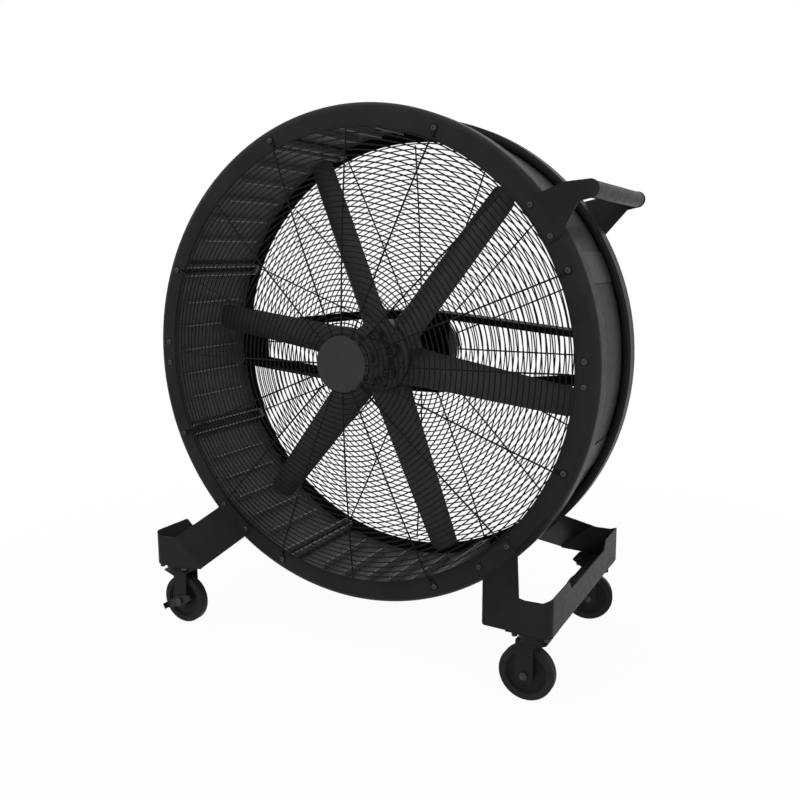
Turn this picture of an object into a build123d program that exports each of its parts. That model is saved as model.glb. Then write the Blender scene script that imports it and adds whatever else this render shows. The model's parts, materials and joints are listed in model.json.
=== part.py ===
from build123d import *
import math
import os

# Drum fan on a castered stand. Millimetres.
# The drum axis runs along Y, with the air outlet side (front) towards -Y.
# Everything below is drawn about the drum axis; save() then lifts it so that Z = 0 is the floor.

# ---------------------------------------------------------------- driving dimensions
# drum rings
DRUM_R = 635.0            # outer radius of the two end rings
RING_HALF = 178.0         # drum centre to the outer face of a ring
RING_T = 3.0              # ring sheet
RING_FLANGE = 58.0        # bore to the outside of the rolled edge
RING_BEND_R = 18.0        # outer radius of the rolled edge
RING_LIP = 42.0           # straight length of the turned-in lip
SECTORS = 8               # posts, and side panels between them

# clearances
PLAY = 0.3                # gap between faces that move past each other
RUN_FIT = 0.05            # radial running clearance
SEAT_FIT = 0.02           # radial clearance of a seated piece
HOLE_FIT = 0.2            # radial clearance of a bolt in its hole

# posts
POST_DEPTH = 25.0         # channel depth, towards the axis
POST_W = 28.0
POST_T = 2.5
WING_W = 80.0             # smooth outside plate of a post

# side panels
PANEL_INSET = 24.0        # outside of the rings to the side sheet
PANEL_T = 1.5
PANEL_EDGE_GAP = 27.0     # post centre to the panel's free edge
RIB_DEPTH = 20.5
RIB_SETBACK = 58.0        # ring flange to the end of a rib
RIB_T = 3.0
RIBS = 5                  # ribs on each panel

# guards
WIRE_R = 1.7              # ring wires
WIRE_SIDES = 6            # faces round a ring wire
SPOKE_R = 2.1             # spoke wires
GUARD_PITCH = 13.5
GUARD_STEP = 8.5          # outermost ring wire in front of the drum ring's face
GUARD_RISE = 38.2         # crown of the domed guard over its rim
GUARD_EDGE_GAP = 0.8      # last ring to the bore of the drum ring
SPOKE_FOOT = 13.0         # ring bore to where a spoke's tail reaches the flange
SPOKES = 16
BADGE_R = 70.0
BADGE_T = 3.0
BADGE_DISH = 2.4          # inside of the disc over the middle of the spokes
MOTOR_RING_GAP = 12.0     # motor to the guard ring round it

# ring fasteners
BOLT_R = 4.0
BOLT_HEAD_R = 7.0
BOLT_HEAD_H = 4.4
NUT_FLATS = 13.0
NUT_H = 6.5
BOLT_TIP = 3.0            # thread standing out of a nut
POST_BOLT_INSET = 31.5    # outside of the ring to the post bolts
TAB_BOLT_INSET = 35.0     # outside of the ring to the bracket and frame bolts
EYE_T = 2.0               # eye plate on the end of a spoke
EYE_OFFSET = 5.0          # spoke to bolt centre
EYE_REACH = 18.0          # bolt centre to the eye plate's inner end

# stand
SHEET_T = 3.0             # stand and handle bracket sheet
STAND_OUT_Y = 128.0       # ring face to the outer face of the front plate
STAND_INSET = 60.0        # outside of the drum to the outer face of the side panel
STAND_TAB_DEG = -49.6     # direction of the stand's tab, from +X
STAND_TAB_W = 120.0
STAND_BEND_IN_GAP = 10.0  # first bend inside the drum's outside
STAND_BEND_OUT_GAP = 66.0 # second bend outside it
STAND_PLATE_W = 115.0     # strap width at the second bend
STAND_RISE = 53.0         # lowest point of the drum to the underside of the stand's flange
STAND_PLATE_H = 82.0      # flange to the top of the corner plate
STAND_SIDE_H = 92.0       # flange to the top of the side panel beside the notch
STAND_NOTCH_H = 66.0      # flange to the floor of the notch
STAND_NOTCH_HALF = 148.0
STAND_NOTCH_RUN = 22.0    # slanted side of the notch
STAND_CORNER_R = 21.0
FLANGE_W = 68.0           # bottom flange along the side
FLANGE_PAD_W = 108.0      # bottom flange above a caster
FLANGE_PAD_LEN = 73.0
FLANGE_PAD_RUN = 50.0
STAND_BOLT_SPREAD = 95.0  # between the two tab bolts
STAND_CORNER_RUN = 180.0  # side face to the end of the corner plate's blank
STAND_SHOULDER = 14.0     # strap to the level top edge of the corner plate

# handle
HANDLE_DEG = 34.7
HANDLE_TAB_W = 110.0
HANDLE_BEND_IN_GAP = 18.0
HANDLE_BEND_OUT_GAP = 64.0
HANDLE_STRAP_W = 52.0
HANDLE_OUT_Y = 46.0       # ring face to the outer face of the bracket plate
HANDLE_REACH = 35.0       # second bend to the tube axis, outwards
HANDLE_SIDESTEP = 18.5    # and downwards round the drum
HANDLE_R = 19.0
HANDLE_WALL = 2.5
HANDLE_END_R = 20.5
HANDLE_BOLT_SPREAD = 85.0
TAB_LAND = 6.0            # ring bore to the inner edge of a tab

# motor frame
BAR_TOP = 113.0           # upper edge of the upper bar
BAR_FLAT_HALF = 100.0
BAR_SLOPE = 0.105         # drop of the bar towards the ring
BAR_DEPTH = 60.0
BAR_WEB = 25.0
BAR_T = 3.0
GUSSET_T = 3.0
GUSSET_REACH = 67.0       # ring bore to the inner edge of a gusset
GUSSET_LAP = 26.0         # and to its outer edge, over the ring
GUSSET_HALF_OUT = 40.0
GUSSET_NECK = 60.0        # length of the gusset beside a bar's end
GUSSET_OVER = 2.0         # gusset standing over the bar's edge
FRAME_BOLT_SPREAD = 57.5
PLATE_HALF_X = 118.0
PLATE_GAP = 1.0           # motor plate to the bar's flange
PLATE_T = 8.0
PLATE_BOLT_X = 90.0
PLATE_CORNER_R = 18.0

# motor
NECK_R = 70.0
NECK_BORE_R = 55.0
NECK_LAND = 2.0           # motor plate's bore inside the neck's outside
NECK_CHAMFER = 5.0
MOTOR_R = 108.0
MOTOR_LEN = 66.0
MOTOR_WALL = 4.0
SPIGOT_R = 84.0
BELL_T = 14.0
BEARING_R = 31.0
BEARING_W = 16.0
BEARING_SLOT = 6.0        # groove between the bearing's two races
BEARING_LIP = 4.0         # neck wall in front of the front bearing
BEARING_SINK = 8.0        # rear bearing in front of the end bell's face
SHAFT_R = 14.0
CORE_R_OUT = 59.0         # rotor core
AIR_GAP = 1.0
BOX_W = 90.0
BOX_H = 60.0
BOX_DEPTH = 32.0
GLAND_R = 11.0

# rotor
HUB_R = 95.0
HUB_BACK = 43.0
HUB_GAP = 3.0             # hub to the motor neck
HUB_RIM_FRONT = 43.0      # the rim reaches this far to the front
HUB_NOSE = 83.0
HUB_NOSE_R = 48.0
HUB_BOSS_R = 18.0
HUB_BOSS_CIRCLE = 60.0
HUB_BOSS_FRONT = 85.0
HUB_RECESS_R = 11.3
HUB_RECESS = 14.0
HUB_BOLT_R = 6.0
HUB_BOLT_HEAD_R = 9.0
HUB_BOLT_HEAD_H = 8.0
HUB_BOLT_STOP = 12.0      # hub's back face to the end of the bolt holes
HUB_PIN_R = 3.2           # locking pin hole above each blade shank
HUB_PIN_INSET = 14.0
WASHER_R = 26.0           # retaining washer on the nose
WASHER_T = 4.0
BLADES = 6
BLADE_START_DEG = -10.0
BLADE_TIP_GAP = 31.0      # blade tip to the bore of the rings
BLADE_ROOT_AT = 150.0     # radius at which the root chord and pitch are given
BLADE_ROOT_CHORD = 98.0
BLADE_TIP_CHORD = 72.0
BLADE_ROOT_PITCH = 23.0
BLADE_TIP_PITCH = 9.0
BLADE_ROOT_SHIFT = -8.0
BLADE_Y = -10.0
BLADE_THICK = 9.0
BLADE_CAMBER = 7.0
BLADE_EDGE_T = 2.4
BLADE_TIP_CORNER = 20.0
BLADE_SHANK_R = 12.0
BLADE_SHANK_LEN = 37.0
BLADE_SHANK_OUT = 8.0     # shank outside the hub, inside the blade's root

# casters
CASTER_INSET_X = 52.0     # stand's side face to the swivel axis
CASTER_INSET_Y = 44.0     # stand's front face to the swivel axis
CASTER_H = 173.0          # floor to the top of the caster plate
WHEEL_R = 67.0
TYRE_W = 27.0
TYRE_EDGE_R = 4.5
CORE_R = 50.0
CORE_W = 24.0
CORE_RIM = 5.0
CORE_DISH = 2.0
HUB_W = 42.0
WHEEL_HUB_R = 17.0
TRAIL = 16.0
CASTER_PLATE_X = 100.0
CASTER_PLATE_Y = 76.0
CASTER_PLATE_R = 16.0
CASTER_PLATE_T = 4.0
CASTER_HOLES_X = 76.0
CASTER_HOLES_Y = 60.0
RACE_R = 37.0
RACE_H = 9.0
CROWN_T = 4.0
CROWN_DROP = 21.0         # top of the caster plate to the top of the crown
KINGPIN_R = 8.0
KINGPIN_HEAD_R = 14.0
KINGPIN_HEAD_H = 4.5
FORK_T = 4.0
FORK_GAP = 22.0           # wheel centre plane to the inner face of a fork leg
FORK_END_R = 21.5
FORK_SHOULDER = 12.0      # height of the slanted corners under the crown
CROWN_CORNER_R = 5.0
AXLE_R = 6.0
AXLE_HEAD_R = 10.0
AXLE_HEAD_H = 6.0
LEVER_T = 3.0
LEVER_HUB_R = 15.0
LEVER_LONG = 54.0
LEVER_SHORT = 42.0
LEVER_W = 16.0
LEVER_TREAD = 14.0        # width of the turned-out tread
LEVER_TILT = 23.0

# direction from each swivel axis to its wheel, as the fan was left standing
HEADINGS = {
    "front_left": 0.0,
    "front_right": 180.0,
    "rear_left": 12.0,
    "rear_right": 194.0,
}
BRAKED = ["front_left", "rear_right"]

# ---------------------------------------------------------------- derived places
RING_BORE_R = DRUM_R - RING_FLANGE
RING_IN = RING_HALF - RING_T                 # inner face of a ring flange
PANEL_R = DRUM_R - PANEL_INSET               # outer radius of the side sheet
PANEL_HALF = RING_IN - PLAY
RIB_HALF = RING_IN - RIB_SETBACK
POST_HALF = RING_IN - POST_T
POST_WEB_R = PANEL_R + PLAY
POST_BOLT_R = DRUM_R - POST_BOLT_INSET
TAB_BOLT_R = DRUM_R - TAB_BOLT_INSET
TAB_IN_R = RING_BORE_R + TAB_LAND
TAB_FACE = RING_HALF + SHEET_T
SECTOR_DEG = 360.0 / SECTORS
STAND_FACE = RING_HALF + STAND_OUT_Y
STAND_SIDE = DRUM_R - STAND_INSET
STAND_BEND_IN = DRUM_R - STAND_BEND_IN_GAP
STAND_BEND_OUT = DRUM_R + STAND_BEND_OUT_GAP
FLANGE_Z = -(DRUM_R - STAND_RISE)            # underside of the stand's flange
AXIS_Z = CASTER_H - FLANGE_Z
CASTER_X = STAND_SIDE - CASTER_INSET_X
CASTER_Y = STAND_FACE - CASTER_INSET_Y
AXLE_Z = WHEEL_R - CASTER_H                  # below the top of the caster plate
HANDLE_FACE = RING_HALF + HANDLE_OUT_Y
HANDLE_BEND_IN = DRUM_R - HANDLE_BEND_IN_GAP
HANDLE_BEND_OUT = DRUM_R + HANDLE_BEND_OUT_GAP
FRAME_WEB_BACK = RING_IN - GUSSET_T          # rear face of the bar webs
GUSSET_IN_X = RING_BORE_R - GUSSET_REACH
GUSSET_OUT_X = RING_BORE_R + GUSSET_LAP
PLATE_HALF_Z = BAR_TOP - BAR_T - PLATE_GAP
PLATE_BACK = FRAME_WEB_BACK - BAR_T
PLATE_FRONT = PLATE_BACK - PLATE_T
NECK_FRONT = HUB_BACK + HUB_GAP
MOTOR_FRONT = FRAME_WEB_BACK + PLAY
MOTOR_BACK = MOTOR_FRONT + MOTOR_LEN
BELL_BACK = MOTOR_BACK + BELL_T
MOTOR_RING_R = MOTOR_R + MOTOR_RING_GAP
BLADE_DEG = 360.0 / BLADES
BLADE_TIP_R = RING_BORE_R - BLADE_TIP_GAP
BLADE_SHANK_IN = HUB_R + BLADE_SHANK_OUT - BLADE_SHANK_LEN
HOLE_R = BOLT_R + HOLE_FIT


# ---------------------------------------------------------------- helpers
def polar(radius, deg):
    """A point of the front view, X to the right and Z up."""
    return (radius * math.cos(math.radians(deg)), radius * math.sin(math.radians(deg)))


def slab(face, front, back):
    """Extrude a front-view outline from depth `front` to depth `back`."""
    return extrude(Plane.XZ.offset(-back) * face, amount=back - front, dir=(0, -1, 0))


def down(face, top, thickness):
    """Extrude a plan-view face down from height `top`."""
    return Pos(0, 0, top - thickness) * extrude(face, amount=thickness)


def rod(radius, front, back, x=0.0, z=0.0):
    """A round bar along Y."""
    return slab(Pos(x, z) * Circle(radius), front, back)


def sector(inner, outer, half_deg, mid_deg=0.0):
    """Front-view face of a ring segment."""
    reach = 1.2 * outer
    wedge = Polygon((0, 0), polar(reach, mid_deg - half_deg), polar(reach, mid_deg + half_deg), align=None)
    return (Circle(outer) - Circle(inner)) & wedge


def about_axis(shape, deg):
    """Turn a piece about the drum axis, counter-clockwise in the front view."""
    return Rot(0, -deg, 0) * shape


def to_back(shape):
    return mirror(shape, about=Plane.XZ)


def to_left(shape):
    return mirror(shape, about=Plane.YZ)


def radial_plane(deg):
    """Local x runs outwards at `deg` in the front view, local y runs along +Y."""
    ux, uz = polar(1.0, deg)
    return Plane(origin=(0, 0, 0), x_dir=(ux, 0, uz), z_dir=(-uz, 0, ux))


def local_point(radial, tangent, deg):
    """Front-view point from a radial and a tangential distance in the direction `deg`."""
    ux, uz = polar(1.0, deg)
    return (radial * ux - tangent * uz, radial * uz + tangent * ux)


def thicken(points, thickness):
    """Closed outline of a bent sheet, from the open line of one face to its left side."""
    normals = []
    for (x0, y0), (x1, y1) in zip(points, points[1:]):
        length = math.hypot(x1 - x0, y1 - y0)
        normals.append((-(y1 - y0) / length, (x1 - x0) / length))
    inner = []
    for i, (x, y) in enumerate(points):
        a = normals[max(i - 1, 0)]
        b = normals[min(i, len(normals) - 1)]
        scale = thickness / (1.0 + a[0] * b[0] + a[1] * b[1])
        inner.append((x + (a[0] + b[0]) * scale, y + (a[1] + b[1]) * scale))
    return Polygon(*points, *reversed(inner), align=None)


def group(pieces):
    """Separate solids that share one node."""
    return Compound(children=[solid for piece in pieces for solid in piece.solids()])


def save(name, shape):
    export_step(Pos(0, 0, AXIS_Z) * shape, f"parts/{name}.step")


# ---------------------------------------------------------------- fastener places
POST_ANGLES = [SECTOR_DEG * (i + 0.5) for i in range(SECTORS)]
STAND_HALF_DEG = math.degrees(math.asin(STAND_BOLT_SPREAD / 2 / TAB_BOLT_R))
HANDLE_HALF_DEG = math.degrees(math.asin(HANDLE_BOLT_SPREAD / 2 / TAB_BOLT_R))
FRAME_HALF_DEG = math.degrees(math.asin(FRAME_BOLT_SPREAD / 2 / TAB_BOLT_R))
STAND_ANGLES = [
    side + turn
    for side in (STAND_TAB_DEG, 180.0 - STAND_TAB_DEG)
    for turn in (-STAND_HALF_DEG, STAND_HALF_DEG)
]
HANDLE_ANGLES = [HANDLE_DEG - HANDLE_HALF_DEG, HANDLE_DEG + HANDLE_HALF_DEG]
FRAME_ANGLES = [side + turn for side in (0.0, 180.0) for turn in (-FRAME_HALF_DEG, FRAME_HALF_DEG)]


def ring_holes():
    """Bolt holes through a front ring and all that is bolted to it."""
    places = [(POST_BOLT_R, deg) for deg in POST_ANGLES]
    places += [(TAB_BOLT_R, deg) for deg in STAND_ANGLES + HANDLE_ANGLES + FRAME_ANGLES]
    return [rod(HOLE_R, -TAB_FACE - 5, -POST_HALF + 5, *polar(*place)) for place in places]


# ---------------------------------------------------------------- drum
def drum_ring():
    """Front end ring: flat flange, rolled edge and turned-in lip."""
    bend_r = DRUM_R - RING_BEND_R
    bend_y = -(RING_HALF - RING_BEND_R)
    lip_end = bend_y + RING_LIP
    inner_bend = RING_BEND_R - RING_T
    slant = math.sqrt(0.5)
    outer_mid = (bend_r + RING_BEND_R * slant, bend_y - RING_BEND_R * slant)
    inner_mid = (bend_r + inner_bend * slant, bend_y - inner_bend * slant)
    outline = [
        Line((RING_BORE_R, -RING_HALF), (bend_r, -RING_HALF)),
        ThreePointArc((bend_r, -RING_HALF), outer_mid, (DRUM_R, bend_y)),
        Line((DRUM_R, bend_y), (DRUM_R, lip_end)),
        Line((DRUM_R, lip_end), (DRUM_R - RING_T, lip_end)),
        Line((DRUM_R - RING_T, lip_end), (DRUM_R - RING_T, bend_y)),
        ThreePointArc((DRUM_R - RING_T, bend_y), inner_mid, (bend_r, -RING_IN)),
        Line((bend_r, -RING_IN), (RING_BORE_R, -RING_IN)),
        Line((RING_BORE_R, -RING_IN), (RING_BORE_R, -RING_HALF)),
    ]
    ring = revolve(make_face(outline), axis=Axis.Y)
    return ring - ring_holes()


def post():
    """Channel open to the axis, with a smooth outside plate and a bolted tab at each end."""
    wing_half_deg = math.degrees(math.asin(WING_W / 2 / POST_WEB_R))
    body = slab(sector(POST_WEB_R, POST_WEB_R + POST_T, wing_half_deg), -PANEL_HALF, PANEL_HALF)
    leg_in = PANEL_R - POST_DEPTH
    leg_mid = (leg_in + POST_WEB_R + 1) / 2
    leg_depth = POST_WEB_R + 1 - leg_in
    for side in (-1, 1):
        leg = Pos(leg_mid, side * (POST_W - POST_T) / 2) * Rectangle(leg_depth, POST_T)
        body += slab(leg, -POST_HALF, POST_HALF)
    tab = Pos(leg_mid, 0) * Rectangle(leg_depth, POST_W)
    for face in (-RING_IN, POST_HALF):
        end = slab(tab, face, face + POST_T)
        body += end - rod(HOLE_R, face - 1, face + POST_T + 1, POST_BOLT_R)
    return body


def side_panel():
    """Curved sheet between two posts with ribs on its inside."""
    half_deg = SECTOR_DEG / 2 - math.degrees(math.asin(PANEL_EDGE_GAP / PANEL_R))
    panel = slab(sector(PANEL_R - PANEL_T, PANEL_R, half_deg), -PANEL_HALF, PANEL_HALF)
    rib_out = PANEL_R - PANEL_T / 2
    rib_face = Pos(rib_out - RIB_DEPTH / 2, 0) * Rectangle(RIB_DEPTH, RIB_T)
    rib = slab(rib_face, -RIB_HALF, RIB_HALF)
    step = 2 * half_deg / (RIBS + 1)
    for i in range(RIBS):
        panel += about_axis(rib, step * (i + 1) - half_deg)
    return panel


# ---------------------------------------------------------------- guards
GUARD_EDGE_Y = RING_HALF + GUARD_STEP               # plane of the dome's rim
SPOKE_STEP = WIRE_R + SPOKE_R + SEAT_FIT            # spokes lie on the outside of the rings
LAST_RING_R = RING_BORE_R - GUARD_EDGE_GAP - WIRE_R
DOME_R = (LAST_RING_R ** 2 + GUARD_RISE ** 2) / (2 * GUARD_RISE)
DOME_CENTRE = DOME_R - GUARD_RISE - GUARD_EDGE_Y   # sphere centre, behind the middle plane
SPOKE_TAIL_Y = RING_HALF + SPOKE_R + SEAT_FIT


def dome(radius, lift=0.0):
    """Distance from the drum's middle plane of the guard's sphere, or of one outside it by `lift`."""
    return math.sqrt((DOME_R + lift) ** 2 - radius ** 2) - DOME_CENTRE


def guard_rings(first_r):
    """Ring wires of the front guard, from the outermost in to first_r."""
    count = int((LAST_RING_R - first_r) / GUARD_PITCH) + 1
    radii = [LAST_RING_R - GUARD_PITCH * i for i in range(count)]
    wires = []
    for radius in radii:
        section = Pos(radius, -dome(radius)) * RegularPolygon(WIRE_R, WIRE_SIDES)
        wires.append(revolve(section, axis=Axis.Y))
    return wires


def spoke(first_r, tail_r):
    """One domed spoke along +X; tail_r asks for a bent tail that lies on the ring flange."""
    last_r = LAST_RING_R + 2 * WIRE_R * (1 if tail_r else -1)
    radii = (first_r, (first_r + last_r) / 2, last_r)
    path = ThreePointArc(*[(radius, -dome(radius, SPOKE_STEP), 0) for radius in radii])
    if tail_r:
        foot = (RING_BORE_R + SPOKE_FOOT, -SPOKE_TAIL_Y, 0)
        bend = Spline(path @ 1, foot, tangents=[path % 1, (1, 0, 0)])
        path = Wire([path, bend, Line(foot, (tail_r, -SPOKE_TAIL_Y, 0))])
    return sweep(Plane(origin=path @ 0, z_dir=path % 0) * Circle(SPOKE_R), path=path)


def eye_plate(deg):
    """Small plate on a spoke's tail that a post bolt clamps to the ring."""
    half = BOLT_HEAD_R + 1
    face = Polygon(
        local_point(POST_BOLT_R - EYE_REACH, -half, deg),
        local_point(POST_BOLT_R - EYE_REACH, 0, deg),
        local_point(POST_BOLT_R, half, deg),
        local_point(POST_BOLT_R + half, half, deg),
        local_point(POST_BOLT_R + half, -half, deg),
        align=None,
    )
    face -= Pos(*polar(POST_BOLT_R, deg)) * Circle(HOLE_R)
    return slab(face, -RING_HALF - EYE_T, -RING_HALF)


def guard_spokes(first_r):
    """All spokes of a front guard; every second one is carried by a post bolt."""
    pieces = []
    for i in range(SPOKES):
        deg = 360.0 / SPOKES * i
        if i % 2:
            tail_r = POST_BOLT_R - BOLT_HEAD_R - SPOKE_R
            slant = math.degrees(math.asin(EYE_OFFSET / POST_BOLT_R))
            pieces.append(about_axis(spoke(first_r, tail_r), deg - slant) + eye_plate(deg))
        else:
            pieces.append(about_axis(spoke(first_r, 0), deg))
    return pieces


def badge_disc():
    """Bare dished disc in the middle of the front guard."""
    seat = dome(BADGE_R, SPOKE_STEP) + SPOKE_R + SEAT_FIT
    crown = dome(0, SPOKE_STEP) + SPOKE_R + BADGE_DISH
    disc = rod(BADGE_R, -crown - BADGE_T, -crown)
    rim = rod(BADGE_R, -crown, -seat) - rod(BADGE_R - BADGE_T, -crown - 1, -seat + 1)
    disc = fillet(disc.edges().filter_by(GeomType.CIRCLE).sort_by(Axis.Y)[0], BADGE_T * 0.6)
    return disc + rim


def motor_ring():
    """Ring of the rear guard that the spokes end on (drawn for the front, then mirrored)."""
    lift = SPOKE_STEP - 2 * SPOKE_R - SEAT_FIT
    section = Pos(MOTOR_RING_R, -dome(MOTOR_RING_R, lift)) * RegularPolygon(SPOKE_R, WIRE_SIDES)
    return revolve(section, axis=Axis.Y)


# ---------------------------------------------------------------- ring bolts and nuts
def button_bolt(seat, tip):
    """Button-head bolt pointing to +Y; its head rests on the plane y = -seat."""
    head = rod(BOLT_HEAD_R, -seat - BOLT_HEAD_H, -seat)
    head = fillet(head.edges().sort_by(Axis.Y)[0], BOLT_HEAD_H * 0.6)
    head -= slab(RegularPolygon(BOLT_R * 0.7, 6), -seat - BOLT_HEAD_H - 1, -seat - BOLT_HEAD_H * 0.4)
    return head + rod(BOLT_R, -seat, -tip)


def nut(seat):
    """Hexagon nut against the inner plane y = -seat."""
    face = RegularPolygon(NUT_FLATS / 2, 6, major_radius=False) - Circle(BOLT_R + SEAT_FIT)
    return slab(face, -seat, -seat + NUT_H)


def ring_bolts(frame_grip):
    """Bolts and nuts of one ring; frame_grip is what the frame bolts clamp behind the flange."""
    rows = [(POST_BOLT_R, POST_ANGLES, RING_HALF + EYE_T, POST_HALF)]
    rows.append((TAB_BOLT_R, STAND_ANGLES + HANDLE_ANGLES, TAB_FACE, RING_IN))
    rows.append((TAB_BOLT_R, FRAME_ANGLES, RING_HALF, RING_IN - frame_grip))
    pieces = []
    for radius, angles, seat, nut_seat in rows:
        bolt = Pos(radius, 0, 0) * button_bolt(seat, nut_seat - NUT_H - BOLT_TIP)
        hex_nut = Pos(radius, 0, 0) * nut(nut_seat)
        for deg in angles:
            pieces.append(about_axis(bolt, deg))
            pieces.append(about_axis(hex_nut, deg))
    return pieces


# ---------------------------------------------------------------- stand
def tab_holes(angles):
    return [rod(HOLE_R, -TAB_FACE - 1, 0, *polar(TAB_BOLT_R, deg)) for deg in angles]


def bent_strap(deg, bend_in, bend_out, face, width):
    """Bolted tab and outward strap up to the second bend, as a plain strip of the given width."""
    path = [
        (TAB_IN_R, -TAB_FACE),
        (bend_in, -TAB_FACE),
        (bend_out, -face),
        (bend_out + 2 * SHEET_T, -face),
    ]
    return extrude(radial_plane(deg) * thicken(path, SHEET_T), amount=width / 2, both=True)


def stand_strap():
    """Front tab and strap of the right stand."""
    half_tab = STAND_TAB_W / 2
    half_plate = STAND_PLATE_W / 2
    outline = Polygon(
        stand_point(TAB_IN_R - 1, -half_tab),
        stand_point(TAB_IN_R - 1, half_tab),
        stand_point(STAND_BEND_IN, half_tab),
        stand_point(STAND_BEND_OUT + 2 * SHEET_T, half_plate),
        stand_point(STAND_BEND_OUT + 2 * SHEET_T, -half_plate),
        stand_point(STAND_BEND_IN, -half_tab),
        align=None,
    )
    strap = bent_strap(STAND_TAB_DEG, STAND_BEND_IN, STAND_BEND_OUT, STAND_FACE, STAND_PLATE_W)
    strap &= slab(outline, -STAND_FACE - 1, 0)
    return strap - tab_holes(STAND_ANGLES)


def stand_point(radial, tangent):
    return local_point(radial, tangent, STAND_TAB_DEG)


def stand_strip():
    """Corner plates and side panel of the right stand, bent from one strip in plan view."""
    start_x = STAND_SIDE - STAND_CORNER_RUN
    side_top = FLANGE_Z + STAND_SIDE_H
    notch_floor = FLANGE_Z + STAND_NOTCH_H
    plate_top = FLANGE_Z + STAND_PLATE_H
    blank_x = 2 * STAND_CORNER_RUN
    blank_y = 2 * STAND_FACE
    plan = RectangleRounded(blank_x, blank_y, STAND_CORNER_R)
    plan -= RectangleRounded(blank_x - 2 * SHEET_T, blank_y - 2 * SHEET_T, STAND_CORNER_R - SHEET_T)
    plan &= Pos(STAND_CORNER_RUN, 0) * Rectangle(blank_x, blank_y + 2)
    strip = Pos(start_x, 0, FLANGE_Z) * extrude(plan, amount=STAND_SIDE_H)

    corner_x, corner_z = stand_point(STAND_BEND_OUT, STAND_PLATE_W / 2)
    front_view = Polygon(
        stand_point(STAND_BEND_OUT, -STAND_PLATE_W / 2),
        (corner_x, corner_z),
        (corner_x + STAND_SHOULDER, plate_top),
        (STAND_SIDE - STAND_CORNER_R, plate_top),
        (STAND_SIDE + 1, side_top),
        (STAND_SIDE + 1, FLANGE_Z),
        (STAND_SIDE - STAND_CORNER_R, FLANGE_Z),
        stand_point(STAND_BEND_OUT + 2 * SHEET_T, -STAND_PLATE_W / 2),
        align=None,
    )
    strip &= slab(front_view, -STAND_FACE - 1, STAND_FACE + 1)
    notch_top = STAND_NOTCH_HALF + STAND_NOTCH_RUN
    notch = Polygon(
        (-notch_top, side_top + 1),
        (-STAND_NOTCH_HALF, notch_floor),
        (STAND_NOTCH_HALF, notch_floor),
        (notch_top, side_top + 1),
        align=None,
    )
    return strip - extrude(Plane.YZ.offset(start_x) * notch, amount=STAND_CORNER_RUN + 1, dir=(1, 0, 0))


def stand_flange():
    """Bottom flange of the right stand, wider above the casters, with round outer corners."""
    pad_start = STAND_FACE - FLANGE_PAD_LEN
    pad_end = pad_start - FLANGE_PAD_RUN
    narrow = STAND_SIDE - FLANGE_W
    wide = STAND_SIDE - FLANGE_PAD_W
    flange_end = STAND_FACE - SHEET_T / 2
    outline = Polygon(
        (STAND_SIDE, -flange_end),
        (STAND_SIDE, flange_end),
        (wide, flange_end),
        (wide, pad_start),
        (narrow, pad_end),
        (narrow, -pad_end),
        (wide, -pad_start),
        (wide, -flange_end),
        align=None,
    )
    blank_x = 2 * STAND_CORNER_RUN - SHEET_T
    corners = RectangleRounded(blank_x, 2 * flange_end, STAND_CORNER_R - SHEET_T / 2)
    outline &= Pos(STAND_SIDE - STAND_CORNER_RUN, 0) * corners
    flange = Pos(0, 0, FLANGE_Z) * extrude(outline, amount=SHEET_T, dir=(0, 0, 1))
    for x, y in caster_bolt_places(1, -1) + caster_bolt_places(1, 1):
        flange -= Pos(x, y, FLANGE_Z) * Cylinder(HOLE_R, 4 * SHEET_T)
    return flange


def stand():
    """Right stand: two bolted tabs, straps, corner plates, side panel and bottom flange."""
    strap = stand_strap()
    return stand_strip() + stand_flange() + strap + to_back(strap)


# ---------------------------------------------------------------- handle
def handle_axis():
    """Front-view place of the handle tube."""
    return local_point(HANDLE_BEND_OUT + HANDLE_REACH, -HANDLE_SIDESTEP, HANDLE_DEG)


def handle_bracket():
    """Front bracket: bolted tab, outward strap and a plate with a round end at the tube."""
    half_tab = HANDLE_TAB_W / 2
    half_strap = HANDLE_STRAP_W / 2
    tube_x, tube_z = handle_axis()

    def at(radial, tangent):
        return local_point(radial, tangent, HANDLE_DEG)

    outline = Polygon(
        at(TAB_IN_R - 1, -half_tab),
        at(TAB_IN_R - 1, half_tab),
        at(HANDLE_BEND_IN, half_tab),
        at(HANDLE_BEND_OUT, half_strap),
        at(HANDLE_BEND_OUT + SHEET_T, half_strap - SHEET_T),
        at(HANDLE_BEND_OUT + SHEET_T, SHEET_T - half_strap),
        at(HANDLE_BEND_OUT, -half_strap),
        at(HANDLE_BEND_IN, -half_tab),
        align=None,
    )
    strap = bent_strap(HANDLE_DEG, HANDLE_BEND_IN, HANDLE_BEND_OUT, HANDLE_FACE, HANDLE_TAB_W)
    strap &= slab(outline, -HANDLE_FACE - 1, 0)
    strap -= tab_holes(HANDLE_ANGLES)
    plate = Polygon(
        at(HANDLE_BEND_OUT, -half_strap),
        at(HANDLE_BEND_OUT, half_strap),
        (tube_x, tube_z + HANDLE_END_R),
        (tube_x, tube_z - HANDLE_END_R),
        align=None,
    )
    plate += Pos(tube_x, tube_z) * Circle(HANDLE_END_R)
    return strap + slab(plate, -HANDLE_FACE, -HANDLE_FACE + SHEET_T)


def handle_tube():
    half = HANDLE_FACE - SHEET_T
    tube_x, tube_z = handle_axis()
    tube = rod(HANDLE_R, -half, half, tube_x, tube_z)
    return tube - rod(HANDLE_R - HANDLE_WALL, -half - 1, half + 1, tube_x, tube_z)


# ---------------------------------------------------------------- motor frame
def bar_height(x):
    """Upper edge of the upper bar at a distance x from the middle."""
    return BAR_TOP - BAR_SLOPE * max(0.0, abs(x) - BAR_FLAT_HALF)


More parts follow.
